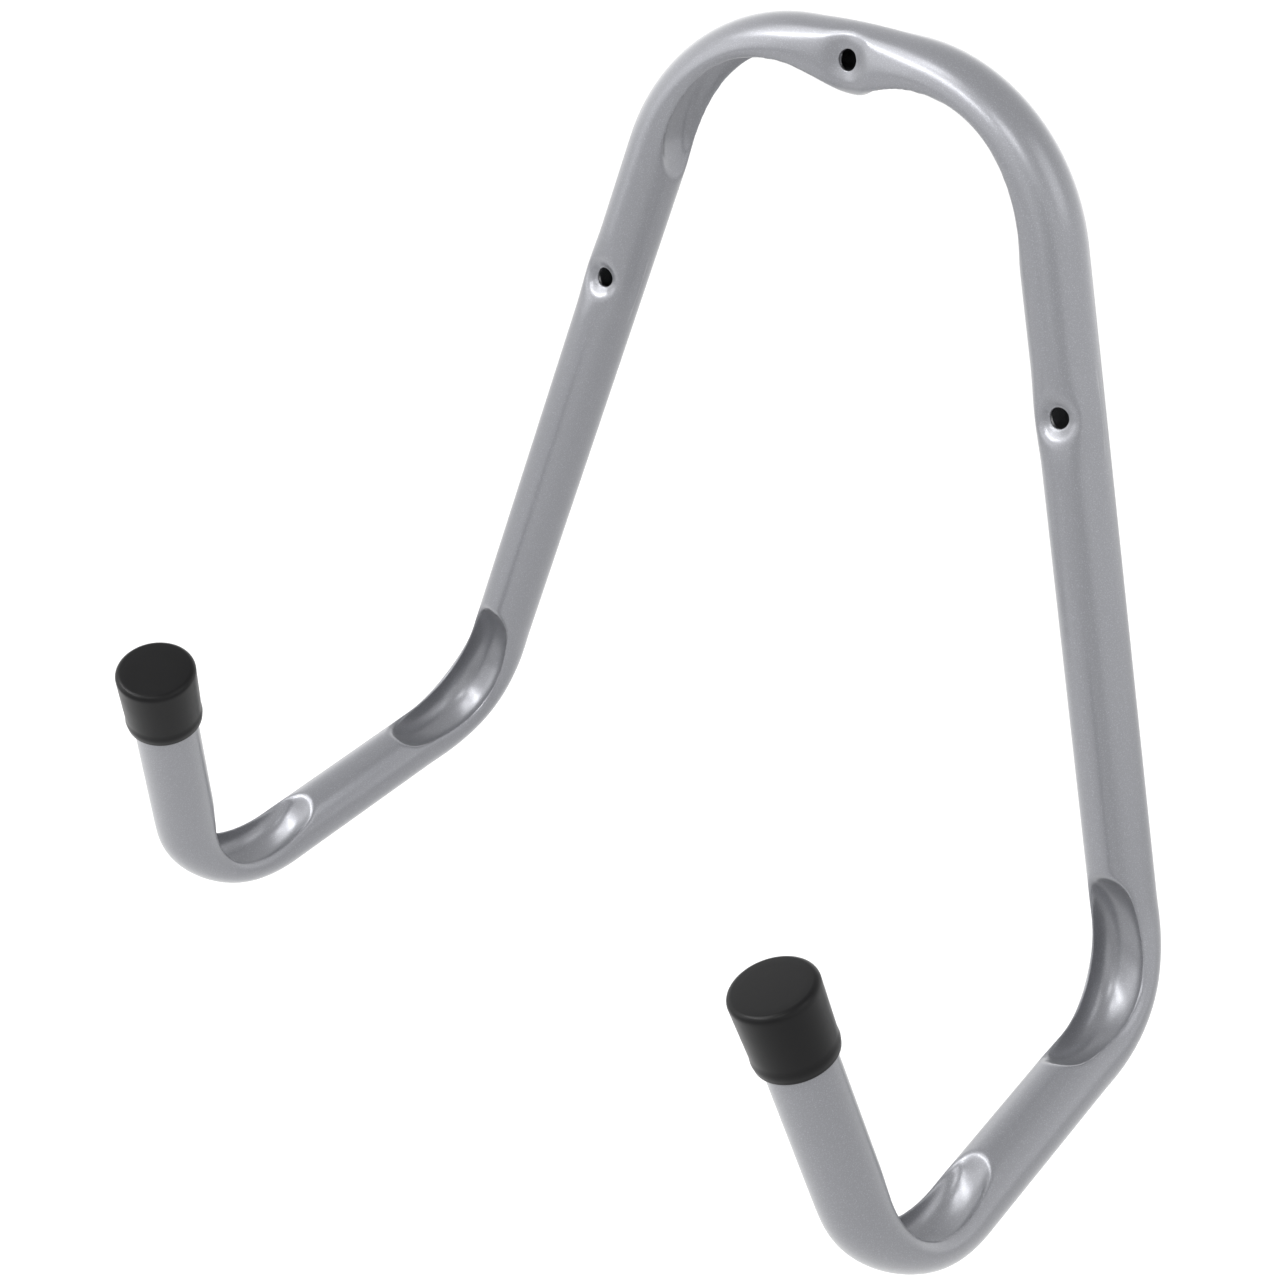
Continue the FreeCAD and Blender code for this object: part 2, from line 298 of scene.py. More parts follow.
@dataclass(frozen=True)
class PressWheel:
    """What the press wheel does to one bend, seen from the bend's inner side.

    Attributes:
        wheel: Radius of the wheel's edge.
        gap: Room left between the two walls under the hollow's floor.
        width: Width of the hollow.
        crest_drop: How far the inner side is lowered beside the hollow.
        outer_flat: How far the outer side is flattened.
        spread: How far the front half of the tube widens to each side.
        spread_at_wall: The same of its back half.
        wall_tilt: How much further the inner side is lowered towards the wall.
        shift: How far the press sits from the middle of the bend, towards the middle of the top.
        end_rise: How far the floor is raised at the middle of the top.
        end_reach: How far from there that rise goes on.
    """

    wheel: float
    gap: float
    width: float
    crest_drop: float
    outer_flat: float
    spread: float
    spread_at_wall: float
    wall_tilt: float = 0.0
    shift: float = 0.0
    end_rise: float = 0.0
    end_reach: float = 28.0

    @property
    def floor(self) -> float:
        """Height of the hollow's floor over the centreline at the middle of the bend."""
        return -TUBE_RADIUS + self.outer_flat + 2 * TUBE_WALL + self.gap


@dataclass(frozen=True)
class Stretch:
    """A straight run of the centreline, or an arc of it where a radius is given."""

    begin: float
    length: float
    start: np.ndarray
    along: np.ndarray
    front: np.ndarray
    radius: float = 0.0
    axis: np.ndarray | None = None
    press: PressWheel | None = None

    def frames(self, distance: np.ndarray) -> tuple[np.ndarray, np.ndarray, np.ndarray]:
        """Where the tube is, and which way it points, at distances along the centreline.

        Args:
            distance: Distances from the middle of the top.

        Returns:
            Centre, direction and front of the tube, one row of each for each distance.
        """
        past = (distance - self.begin)[:, None]
        if not self.radius:
            same = np.ones_like(past)
            return self.start + self.along * past, self.along * same, self.front * same
        angles = past[:, 0] / self.radius
        inward = np.cross(self.axis, self.along)
        centre = self.start + inward * self.radius - turned(inward, self.axis, angles) * self.radius
        return centre, turned(self.along, self.axis, angles), turned(self.front, self.axis, angles)


@dataclass
class PressedBend:
    """One bend with its hollow, as sections across the tube."""

    arc: Stretch
    flank: float = 10.0
    lip_blend: float = 1.2
    flank_power: float = 2.5
    squash_reach: float = 7.8
    outline_steps: int = 240
    least_hollow: float = 0.02

    @property
    def middle(self) -> float:
        """Distance along the centreline to the middle of the bend."""
        return self.arc.begin + self.arc.length / 2

    @property
    def inner_angle(self) -> float:
        """Angle round the tube from its front to the inner side of the bend."""
        inward = np.cross(self.arc.axis, self.arc.along)
        return math.atan2(inward @ np.cross(self.arc.along, self.arc.front), inward @ self.arc.front)

    def squash(self, distance: np.ndarray) -> np.ndarray:
        """Share of the full squash, which fades out past both ends of the bend."""
        from_middle = np.abs(distance + self.arc.press.shift - self.middle)
        return fade(from_middle / (self.arc.length / 2 + self.squash_reach))

    def wheel_floor(self, distance: np.ndarray, wall: float) -> np.ndarray:
        """Height of the wheel's edge over the centreline, with the wheel grown by a wall.

        Args:
            distance: Distances along the centreline.
            wall: Depth of the skin in the wall.

        Returns:
            One height for each distance, and NO_FLOOR where the wheel doesn't reach.
        """
        press = self.arc.press
        wheel = press.wheel + wall
        offset = self.arc.radius - press.wheel - press.floor
        from_middle = np.abs(distance + press.shift - self.middle)
        angle = np.minimum(from_middle, self.arc.length / 2) / self.arc.radius
        past = from_middle - angle * self.arc.radius
        reach = wheel ** 2 - (past + offset * np.sin(angle)) ** 2
        rise = press.end_rise * fade(distance / press.end_reach)
        floor = self.arc.radius - offset * np.cos(angle) - np.sqrt(np.maximum(reach, 0.0)) + rise
        return np.where(reach > 0, floor, NO_FLOOR)

    def half_outline(self, rows: np.ndarray, wall: float, wallward: float) -> tuple[np.ndarray, np.ndarray]:
        """Half of each section, from the bend's inner side to its outer side, in equal steps of length.

        Args:
            rows: Distances along the centreline.
            wall: Depth of the skin in the wall.
            wallward: How far the half faces the wall, from 1 to -1 where it faces away.

        Returns:
            Distances to the side and heights towards the inner side, one row for each section.
        """
        press = self.arc.press
        radius = TUBE_RADIUS - wall
        squash = self.squash(rows)[:, None]
        turn = np.linspace(0.0, math.pi, self.outline_steps + 1)
        side = radius * np.sin(turn)
        level = radius * np.cos(turn)
        half_width = press.width / 2 + wall
        share = np.minimum(1.0, side / half_width) ** self.flank_power
        dish = self.flank * (1 - (1 - share) ** (1 / self.flank_power))
        hollow = np.where(side < half_width, self.wheel_floor(rows, wall)[:, None] + dish, NO_FLOOR)
        drop = (press.crest_drop + press.wall_tilt * wallward * side / radius) * squash
        upper = level * (1 - drop / radius)
        upper = smooth_min(upper, np.minimum(hollow, upper + 3 * self.lip_blend), 2 * self.lip_blend)
        lower = level * (1 - press.outer_flat * squash / radius)
        height = np.where(level > 0, np.maximum(upper, self.least_hollow - lower), lower)
        sides = np.broadcast_to(side, height.shape)
        steps = np.hypot(np.diff(sides, axis=1), np.diff(height, axis=1))
        lengths = np.concatenate([np.zeros((len(rows), 1)), np.cumsum(steps, axis=1)], axis=1)
        wanted = np.linspace(0.0, 1.0, self.outline_steps + 1)
        even = [(np.interp(wanted * total[-1], total, x), np.interp(wanted * total[-1], total, y))
                for total, x, y in zip(lengths, sides, height)]
        return np.array([pair[0] for pair in even]), np.array([pair[1] for pair in even])

    def section(self, distance: np.ndarray, angle: np.ndarray, wall: float) -> tuple[np.ndarray, np.ndarray]:
        """Places ahead of and beside the centreline.

        Args:
            distance: Distance along the centreline, one a point.
            angle: Angle round the tube from its front, one a point.
            wall: Depth of the skin in the wall.

        Returns:
            How far ahead and how far aside each point lies.
        """
        rows, which = np.unique(distance, return_inverse=True)
        inner = self.inner_angle
        apart = (angle - inner + math.pi) % (2 * math.pi) - math.pi
        place = np.abs(apart) / math.pi * self.outline_steps
        index = np.minimum(place.astype(int), self.outline_steps - 1)
        share = place - index
        side = np.zeros_like(distance)
        height = np.zeros_like(distance)
        for way in (1, -1):
            mine = apart >= 0 if way == 1 else apart < 0
            sides, heights = self.half_outline(rows, wall, way * math.sin(inner))
            row, first, part = which[mine], index[mine], share[mine]
            side[mine] = way * (sides[row, first] * (1 - part) + sides[row, first + 1] * part)
            height[mine] = heights[row, first] * (1 - part) + heights[row, first + 1] * part
        ahead = height * math.cos(inner) - side * math.sin(inner)
        spread = np.where(ahead > 0, self.arc.press.spread, self.arc.press.spread_at_wall)
        side = side * (1 + spread * self.squash(distance) / (TUBE_RADIUS - wall))
        ahead = height * math.cos(inner) - side * math.sin(inner)
        aside = height * math.sin(inner) + side * math.cos(inner)
        return ahead, aside


@dataclass
class ScrewSeat:
    """A screw hole through the tube, with the flat and the dent round it in the front wall."""

    name: str
    distance: float
    centre: np.ndarray
    along: np.ndarray
    dent_radius: float
    dent_depth: float
    flat_depth: float
    flat_reach: float
    flat_blend: float = 2.8
    flat_widening: float = 0.7
    hole_radius: float = 3.5
    edge_round: float = 0.45

    def press_in(self, points: np.ndarray, wall: float) -> np.ndarray:
        """Points of a skin, moved by the flat and the dent.

        Args:
            points: The points, one a row.
            wall: Depth of the skin in the wall.

        Returns:
            The moved points.
        """
        across_way = np.cross(FRONT, self.along)
        local = points - self.centre
        ahead = local @ FRONT
        along = local @ self.along
        across = local @ across_way
        share = fade(np.abs(along) / self.flat_reach)
        level = TUBE_RADIUS - wall - self.flat_depth
        moved = (smooth_min(ahead, level, self.flat_blend) - ahead) * share
        wider = across * self.flat_widening / TUBE_RADIUS * share
        near = np.minimum(1.0, np.hypot(along, across) / self.dent_radius)
        facing = np.clip(ahead / (TUBE_RADIUS / 2), 0.0, 1.0)
        moved = moved - self.dent_depth * facing * (1 + np.cos(math.pi * near)) / 2
        pressed = points + FRONT * moved[:, None] + across_way * wider[:, None]
        return np.where((ahead > 0)[:, None], pressed, points)


@dataclass
class BentTube:
    """The pressed and bent steel tube, from one tip over the top of the frame to the other."""

    shoulder_half_span: float = 68.4
    foot_half_span: float = 155.3
    leg_drop: float = 287.3
    arm: tuple[float, float, float] = (6.1, -141.2, -42.4)
    tip: tuple[float, float, float] = (-26.5, -41.8, 114.9)
    cap_end: float = 2.5
    leg_hole_drop: float = 95.5
    shoulder_radius: float = 63.7
    foot_radius: float = 42.3
    tip_radius: float = 42.2
    shoulder_press: PressWheel = PressWheel(
        wheel=44.4, gap=2.9, width=18.6, crest_drop=7.2, outer_flat=0.4, spread=0.6, spread_at_wall=0.0,
        wall_tilt=1.1, shift=8.3, end_rise=5.0)
    foot_press: PressWheel = PressWheel(
        wheel=31.6, gap=3.4, width=17.8, crest_drop=4.4, outer_flat=0.4, spread=1.6, spread_at_wall=1.6)
    tip_press: PressWheel = PressWheel(
        wheel=31.6, gap=1.2, width=17.8, crest_drop=4.4, outer_flat=2.6, spread=1.6, spread_at_wall=1.6)
    columns: int = 112
    inner_columns: int = 48
    grid_step: float = 0.25
    plain_step: float = 6.0
    pressed_step: float = 2.0
    fine_step: float = 0.9
    inner_plain_step: float = 12.0
    inner_step: float = 3.2
    fine_reach: float = 5.0
    patch_reach: float = 5.4
    patch_rings: int = 3
    edge_rings: int = 4
    solve_rounds: int = 7
    solve_nudge: tuple[float, float] = (0.02, 0.002)
    solve_limit: tuple[float, float] = (2.0, 0.3)
    stretches: list[Stretch] = field(default_factory=list)
    bends: list[PressedBend] = field(default_factory=list)
    seats: list[ScrewSeat] = field(default_factory=list)

    def __post_init__(self) -> None:
        """Lay out the centreline and the screw seats."""
        level = -TUBE_RADIUS
        corners = [np.array([0.0, level, 0.0]), np.array([self.shoulder_half_span, level, 0.0]),
                   np.array([self.foot_half_span, level, -self.leg_drop])]
        corners.append(corners[-1] + np.array(self.arm))
        corners.append(corners[-1] + np.array(self.tip))
        radii = (self.shoulder_radius, self.foot_radius, self.tip_radius)
        presses = (self.shoulder_press, self.foot_press, self.tip_press)
        start, front, distance = corners[0], FRONT, 0.0
        for before, corner, after, radius, press in zip(corners, corners[1:], corners[2:], radii, presses):
            along, onward = unit(corner - before), unit(after - corner)
            angle = math.acos(along @ onward)
            tangent = radius * math.tan(angle / 2)
            run = np.linalg.norm(corner - along * tangent - start)
            self.stretches.append(Stretch(distance, run, start, along, front))
            axis = unit(np.cross(along, onward))
            arc = Stretch(distance + run, radius * angle, corner - along * tangent, along, front, radius, axis,
                          press)
            self.stretches.append(arc)
            self.bends.append(PressedBend(arc))
            distance += run + arc.length
            start = corner + onward * tangent
            front = turned(front, axis, np.array([angle]))[0]
        last = unit(corners[-1] - corners[-2])
        length = np.linalg.norm(corners[-1] - start) - self.cap_end
        self.stretches.append(Stretch(distance, length, start, last, front))
        leg = self.stretches[2]
        down = (self.leg_hole_drop + leg.start[2]) / -leg.along[2]
        hole = leg.start + leg.along * down
        self.seats = [
            ScrewSeat("top", 0.0, corners[0], RIGHT,
                      dent_radius=11.5, dent_depth=3.2, flat_depth=1.2, flat_reach=30.0),
            ScrewSeat("leg", leg.begin + down, hole, leg.along,
                      dent_radius=8.9, dent_depth=4.0, flat_depth=0.9, flat_reach=17.8)]

    @property
    def end(self) -> float:
        """Distance along the centreline from the middle of the top to the tube's end."""
        return self.stretches[-1].begin + self.stretches[-1].length

    def tip_seat(self) -> tuple[np.ndarray, np.ndarray]:
        """Centre and direction of the right tip's end."""
        centre, along, _ = self.stretches[-1].frames(np.array([self.end]))
        return centre[0], along[0]

    def points(self, distance: np.ndarray, angle: np.ndarray, skin: Skin) -> np.ndarray:
        """Points of a skin.

        Args:
            distance: Distance along the centreline from the middle of the top, negative on the left half.
            angle: Angle round the tube from its front.
            skin: The outer or the inner skin.

        Returns:
            One point a row.
        """
        wall = skin.value
        reach = np.abs(distance)
        centre = np.zeros((len(reach), 3))
        along = np.zeros_like(centre)
        front = np.zeros_like(centre)
        edges = np.array([piece.begin for piece in self.stretches[1:]])
        owner = np.searchsorted(edges, reach)
        for index, piece in enumerate(self.stretches):
            mine = owner == index
            centre[mine], along[mine], front[mine] = piece.frames(reach[mine])
        nearest = np.argmin([np.abs(reach - bend.middle) for bend in self.bends], axis=0)
        ahead = np.zeros_like(reach)
        aside = np.zeros_like(reach)
        for index, bend in enumerate(self.bends):
            mine = nearest == index
            if mine.any():
                ahead[mine], aside[mine] = bend.section(reach[mine], angle[mine], wall)
        result = centre + front * ahead[:, None] + np.cross(along, front) * aside[:, None]
        for seat in self.seats:
            result = seat.press_in(result, wall)
        result[:, 0] *= np.where(distance < 0, -1.0, 1.0)
        return result

    def stations(self, skin: Skin) -> np.ndarray:
        """Distances of the rings of one skin, close together where the tube is pressed.

        Args:
            skin: The outer or the inner skin.

        Returns:
            Distances from the left end, negative, to the right end.
        """
        grid = np.arange(0.0, self.end, self.grid_step)
        pressed = np.zeros(len(grid), bool)
        sharp = np.zeros(len(grid), bool)
        for bend in self.bends:
            hollow = bend.wheel_floor(grid, 0.0) < TUBE_RADIUS + bend.lip_blend
            pressed |= hollow | (bend.squash(grid) > 0)
            for place in grid[1:][np.diff(hollow.astype(int)) != 0]:
                sharp |= np.abs(grid - place) < self.fine_reach
        for seat in self.seats:
            pressed |= np.abs(grid - seat.distance) < seat.flat_reach
            sharp |= np.abs(grid - seat.distance) < self.fine_reach + seat.hole_radius
        if skin is Skin.OUTER:
            step = np.where(sharp, self.fine_step, np.where(pressed, self.pressed_step, self.plain_step))
        else:
            step = np.where(pressed, self.inner_step, self.inner_plain_step)
        rings = np.concatenate([[0.0], np.cumsum(self.grid_step / step)])
        count = math.ceil(rings[-1])
        right = np.interp(np.linspace(0.0, rings[-1], count + 1), rings, np.append(grid, self.end))
        return np.concatenate([-right[:0:-1], right])

    def solve(self, targets: np.ndarray, distance: np.ndarray, angle: np.ndarray, skin: Skin) -> np.ndarray:
        """Points of a skin that lie over given places on the wall.

        Args:
            targets: Wanted X and Z, one pair a row.
            distance: A first guess of each point's distance along the centreline.
            angle: A first guess of each point's angle.
            skin: The outer or the inner skin.

        Returns:
            The points, one a row.
        """
        onward, round_it = self.solve_nudge
        far, wide = self.solve_limit
        for _ in range(self.solve_rounds):
            here = self.points(distance, angle, skin)
            miss = targets - here[:, [0, 2]]
            by_distance = (self.points(distance + onward, angle, skin) - here)[:, [0, 2]] / onward
            by_angle = (self.points(distance, angle + round_it, skin) - here)[:, [0, 2]] / round_it
            slope = np.stack([by_distance, by_angle], axis=2)
            step = np.linalg.solve(slope, miss[:, :, None])[:, :, 0]
            distance = distance + np.clip(step[:, 0], -far, far)
            angle = angle + np.clip(step[:, 1], -wide, wide)
        return self.points(distance, angle, skin)

    def build(self) -> bpy.types.Object:
        """Build the tube as one closed mesh.

        Returns:
            The new object.
        """
        shell = Shell()
        openings = {}
        ends = {}
        for skin, count in ((Skin.OUTER, self.columns), (Skin.INNER, self.inner_columns)):
            stations = self.stations(skin)
            angles = 2 * math.pi * np.arange(count) / count - math.pi / 2
            flat = self.points(np.repeat(stations, count), np.tile(angles, len(stations)), skin)
            grid = shell.add(flat).reshape(len(stations), count)
            keep = np.ones((len(stations) - 1, count), bool)
            for seat in self.seats:
                for side in Side:
                    if seat.distance == 0 and side is Side.LEFT:
                        continue
                    for face in Face:
                        where = side.value * seat.distance
                        rows = self.covering(stations, where)
                        guess = (stations, angles, where, face.value)
                        columns = self.columns_over(shell, grid, seat, side, guess)
                        keep[rows[0]:rows[-1], columns[0]:columns[-1]] = False
                        rim = boundary(rows, columns)
                        openings[(seat.name, side, face, skin)] = (grid, rim, guess)
            shell.grid_faces(grid, keep)
            ends[skin] = (grid[0], grid[-1])
        self.join_ends(shell, ends)
        for seat in self.seats:
            for side in Side:
                for face in Face:
                    key = (seat.name, side, face)
                    if key + (Skin.OUTER,) in openings:
                        self.cut_hole(shell, seat, side, openings[key + (Skin.OUTER,)],
                                      openings[key + (Skin.INNER,)])
        return shell.build("pressed_tube")

    def covering(self, stations: np.ndarray, where: float) -> np.ndarray:
        """Numbers of the rings that reach just past a screw hole on both sides."""
        inside = np.nonzero(np.abs(stations - where) < self.patch_reach)[0]
        return np.arange(inside[0], inside[-1] + 1)

    def columns_over(self, shell: "Shell", grid: np.ndarray, seat: ScrewSeat, side: Side,
                     guess: Guess) -> np.ndarray:
        """Numbers of the columns that reach just past a screw hole on both sides.

        Args:
            shell: The shell that holds the points.
            grid: Numbers of the skin's points, by ring and column.
            seat: The screw hole.
            side: The half of the hook.
            guess: Ring distances, column angles, and the hole's own distance and angle.

        Returns:
            The column numbers in order.
        """
        stations, _, where, angle = guess
        row = int(np.argmin(np.abs(stations - where)))
        points = shell.point_array()[grid[row]]
        along = seat.along * np.array([side.value, 1.0, 1.0])
        middle = seat.centre * np.array([side.value, 1.0, 1.0])
        across = np.cross(FRONT, along)
        beside = (points - middle) @ across
        facing = (points - middle) @ FRONT * math.cos(angle) > 0
        inside = np.nonzero((np.abs(beside) < self.patch_reach) & facing)[0]
        return np.arange(inside[0], inside[-1] + 1)

    def cut_hole(self, shell: "Shell", seat: ScrewSeat, side: Side, outer: Opening, inner: Opening) -> None:
        """Close the gap left round a screw hole with rings, a rounded edge and the hole's wall.

        Args:
            shell: The shell to add to.
            seat: The screw hole.
            side: The half of the hook.
            outer: Grid, rim and first guess of the gap in the outer skin.
            inner: The same for the inner skin.
        """
        middle = (seat.centre * np.array([side.value, 1.0, 1.0]))[[0, 2]]
        loops = {skin: grid[rim[:, 0], rim[:, 1]]
                 for skin, (grid, rim, _) in ((Skin.OUTER, outer), (Skin.INNER, inner))}
        _, rim, (stations, angles, where, angle) = outer
        flat = shell.point_array()[loops[Skin.OUTER]][:, [0, 2]] - middle
        away = np.hypot(flat[:, 0], flat[:, 1])
        way = flat / away[:, None]
        rim_distance = stations[rim[:, 0]]
        rim_angle = np.unwrap(np.append(angle, angles[rim[:, 1]]))[1:]
        before = loops[Skin.OUTER]
        edge = seat.hole_radius + seat.edge_round
        for ring in range(1, self.patch_rings + 1):
            share = ring / self.patch_rings
            radius = away + (edge - away) * share
            nearer = 1 - radius / away
            found = self.solve(middle + way * radius[:, None], rim_distance + (where - rim_distance) * nearer,
                               rim_angle + (angle - rim_angle) * nearer, Skin.OUTER)
            after = shell.add(found)
            shell.strip(before, after)
            before = after
        inward = math.cos(angle)
        for ring in range(1, self.edge_rings + 1):
            turn = math.pi / 2 * ring / self.edge_rings
            radius = seat.hole_radius + seat.edge_round * (1 - math.sin(turn))
            rounded = found.copy()
            rounded[:, [0, 2]] = middle + way * radius
            rounded[:, 1] += inward * seat.edge_round * (1 - math.cos(turn))
            after = shell.add(rounded)
            shell.strip(before, after)
            before = after
        nearer = 1 - seat.hole_radius / away
        found = self.solve(middle + way * seat.hole_radius, rim_distance + (where - rim_distance) * nearer,
                           rim_angle + (angle - rim_angle) * nearer, Skin.INNER)
        after = shell.add(found)
        shell.strip(before, after)
        shell.stitch(after, loops[Skin.INNER], np.array([middle[0], 0.0, middle[1]]), RIGHT, UP)

    def join_ends(self, shell: "Shell", ends: dict[Skin, tuple[np.ndarray, np.ndarray]]) -> None:
        """Close the tube at both tips with a flat ring between its skins.

        Args:
            shell: The shell to add to.
            ends: Point numbers of the first and the last ring of each skin.
        """
        centre, along = self.tip_seat()
        for side, place in ((Side.LEFT, 0), (Side.RIGHT, 1)):
            mirror = np.array([side.value, 1.0, 1.0])
            first = unit(np.cross(along * mirror, RIGHT))
            second = np.cross(along * mirror, first)
            shell.stitch(ends[Skin.OUTER][place], ends[Skin.INNER][place], centre * mirror, first, second)


def boundary(rows: np.ndarray, columns: np.ndarray) -> np.ndarray:
    """Ring and column numbers round a block of a grid.

    Args:
        rows: The block's ring numbers.
        columns: Its column numbers.

    Returns:
        One pair a row, in order and without repeats.
    """
    top = [(rows[0], column) for column in columns]
    right = [(row, columns[-1]) for row in rows[1:]]
    bottom = [(rows[-1], column) for column in columns[-2::-1]]
    left = [(row, columns[0]) for row in rows[-2:0:-1]]
    return np.array(top + right + bottom + left)


class Shell:
    """Points and faces of a closed surface while it is put together, in millimetres."""

    def __init__(self) -> None:
        """Start with nothing."""
        self.blocks: list[np.ndarray] = []
        self.count = 0
        self.faces: list[tuple[int, ...]] = []

    def add(self, points: np.ndarray) -> np.ndarray:
        """Add points.

        Args:
            points: The points, one a row.

        Returns:
            Their numbers.
        """
        numbers = np.arange(self.count, self.count + len(points))
        self.blocks.append(points)
        self.count += len(points)
        return numbers

    def point_array(self) -> np.ndarray:
        """Gather the points.

        Returns:
            All points so far, one a row.
        """
        if len(self.blocks) > 1:
            self.blocks = [np.concatenate(self.blocks)]
        return self.blocks[0]

    def grid_faces(self, grid: np.ndarray, keep: np.ndarray) -> None:
        """Add the faces of a grid that closes on itself.

        Args:
            grid: Point numbers, by ring and column.
            keep: Whether each face is kept, by ring and column.
        """
        onward = np.roll(grid, -1, axis=1)
        quads = np.stack([grid[:-1], onward[:-1], onward[1:], grid[1:]], axis=2)[keep]
        self.faces += [tuple(quad) for quad in quads.tolist()]

    def strip(self, first: np.ndarray, second: np.ndarray) -> None:
        """Join two loops that have the same number of points."""
        quads = np.stack([first, np.roll(first, -1), np.roll(second, -1), second], axis=1)
        self.faces += [tuple(quad) for quad in quads.tolist()]

    def stitch(self, first: np.ndarray, second: np.ndarray, centre: np.ndarray, across: np.ndarray,
               up: np.ndarray) -> None:
        """Join two loops round one centre that differ in their number of points.

        Args:
            first: Point numbers of one loop.
            second: Point numbers of the other.
            centre: The centre of both.
            across: One direction in their plane.
            up: The other direction in their plane.
        """
        points = self.point_array()
        ordered = []
        for loop in (first, second):
            local = points[loop] - centre
            angles = np.arctan2(local @ up, local @ across)
            if np.sum(np.diff(np.unwrap(angles))) < 0:
                loop, angles = loop[::-1], angles[::-1]
            begin = int(np.argmin(angles))
            angles = np.roll(angles, -begin)
            ordered.append((np.append(np.roll(loop, -begin), loop[begin]),
                            np.append(angles, angles[0] + 2 * math.pi)))
        (one, one_angles), (two, two_angles) = ordered
        i = j = 0
        while i < len(one) - 1 or j < len(two) - 1:
            if j == len(two) - 1 or (i < len(one) - 1 and one_angles[i + 1] <= two_angles[j + 1]):
                self.faces.append((int(one[i]), int(one[i + 1]), int(two[j])))
                i += 1
            else:
                self.faces.append((int(one[i]), int(two[j + 1]), int(two[j])))
                j += 1

    def build(self, name: str) -> bpy.types.Object:
        """Make the surface a smooth shaded object in metres, with all faces turned outwards.

        Args:
            name: The object's name.

        Returns:
            The new object.
        """
        mesh = bpy.data.meshes.new(name)
        mesh.from_pydata((self.point_array() * MM).tolist(), [], self.faces)
        loose = bmesh.new()
        loose.from_mesh(mesh)
        bmesh.ops.recalc_face_normals(loose, faces=loose.faces)
        open_edges = sum(1 for edge in loose.edges if len(edge.link_faces) != 2)
        loose.to_mesh(mesh)
        loose.free()
        mesh.polygons.foreach_set("use_smooth", [True] * len(mesh.polygons))
        log.info("%s: %d faces, %d open edges", name, len(mesh.polygons), open_edges)
        shown = bpy.data.objects.new(name, mesh)
        bpy.context.scene.collection.objects.link(shown)
        return shown


@dataclass
class EndCap:
    """A push-on vinyl cap, turned about the tip's axis."""

    side: Side
    length: float = 25.4
    wall: float = 1.9
    taper: float = 0.7
    end: float = 2.5
    clearance: float = 0.1
    edge_radius: float = 2.0
    rim_height: float = 4.0
    rim_proud: float = 0.25
    crown: float = 0.12
    mouth_round: float = 0.6
    around: int = 120
    arc_steps: int = 8
    side_steps: int = 24

    def profile(self) -> list[tuple[float, float]]:
        """Radius and height of the profile, from the middle of the inside to the middle of the top."""
        bore = TUBE_RADIUS + self.clearance
        mouth = bore + self.wall
        outside = mouth + self.taper
        foot = self.end - self.length
        soft = self.mouth_round
        quarter = [math.pi / 2 * step / self.arc_steps for step in range(self.arc_steps + 1)]
        points = [(bore * share, 0.0) for share in (0.25, 0.5, 0.75, 1.0)]
        points += [(bore, foot * share) for share in (0.25, 0.5, 0.75)]
        points += [(bore + soft / 2 * (1 - math.cos(turn)), foot + soft / 2 * (1 - math.sin(turn)))
                   for turn in quarter]
        points += [(mouth - soft * (1 - math.sin(turn)), foot + soft * (1 - math.cos(turn)))
                   for turn in quarter]
        rise = self.end - self.edge_radius - self.crown
        for step in range(1, self.side_steps):
            height = foot + soft + (rise - foot - soft) * step / self.side_steps
            share = (height - foot) / (rise - foot)
            past = min(1.0, (height - foot - soft) / self.rim_height)
            bead = self.rim_proud * math.sin(math.pi * past) ** 2
            points.append((mouth + self.taper * share + bead, height))
        corner = outside - self.edge_radius
        points += [(corner + self.edge_radius * math.cos(turn), rise + self.edge_radius * math.sin(turn))
                   for turn in quarter]
        points += [(corner * share, self.end - self.crown * share ** 2) for share in (0.8, 0.6, 0.4, 0.2)]
        return points

    def build(self, tube: BentTube) -> bpy.types.Object:
        """Build the cap, seated on the tube's end.

        Args:
            tube: The tube that it sits on.

        Returns:
            The new object.
        """
        seat, along = tube.tip_seat()
        mirror = np.array([self.side.value, 1.0, 1.0])
        seat, along = seat * mirror, along * mirror
        first = unit(np.cross(along, RIGHT))
        second = np.cross(along, first)
        turn = 2 * math.pi * np.arange(self.around) / self.around
        around = np.cos(turn)[:, None] * first + np.sin(turn)[:, None] * second
        shell = Shell()
        inside = int(shell.add(seat[None, :])[0])
        loops = [shell.add(seat + around * radius + along * height) for radius, height in self.profile()]
        top = int(shell.add((seat + along * self.end)[None, :])[0])
        for before, after in zip(loops, loops[1:]):
            shell.strip(before, after)
        for middle, loop in ((inside, loops[0]), (top, loops[-1])):
            shell.faces += [(middle, int(a), int(b)) for a, b in zip(loop, np.roll(loop, -1))]
        return shell.build(self.side.name.lower() + "_vinyl_cap")


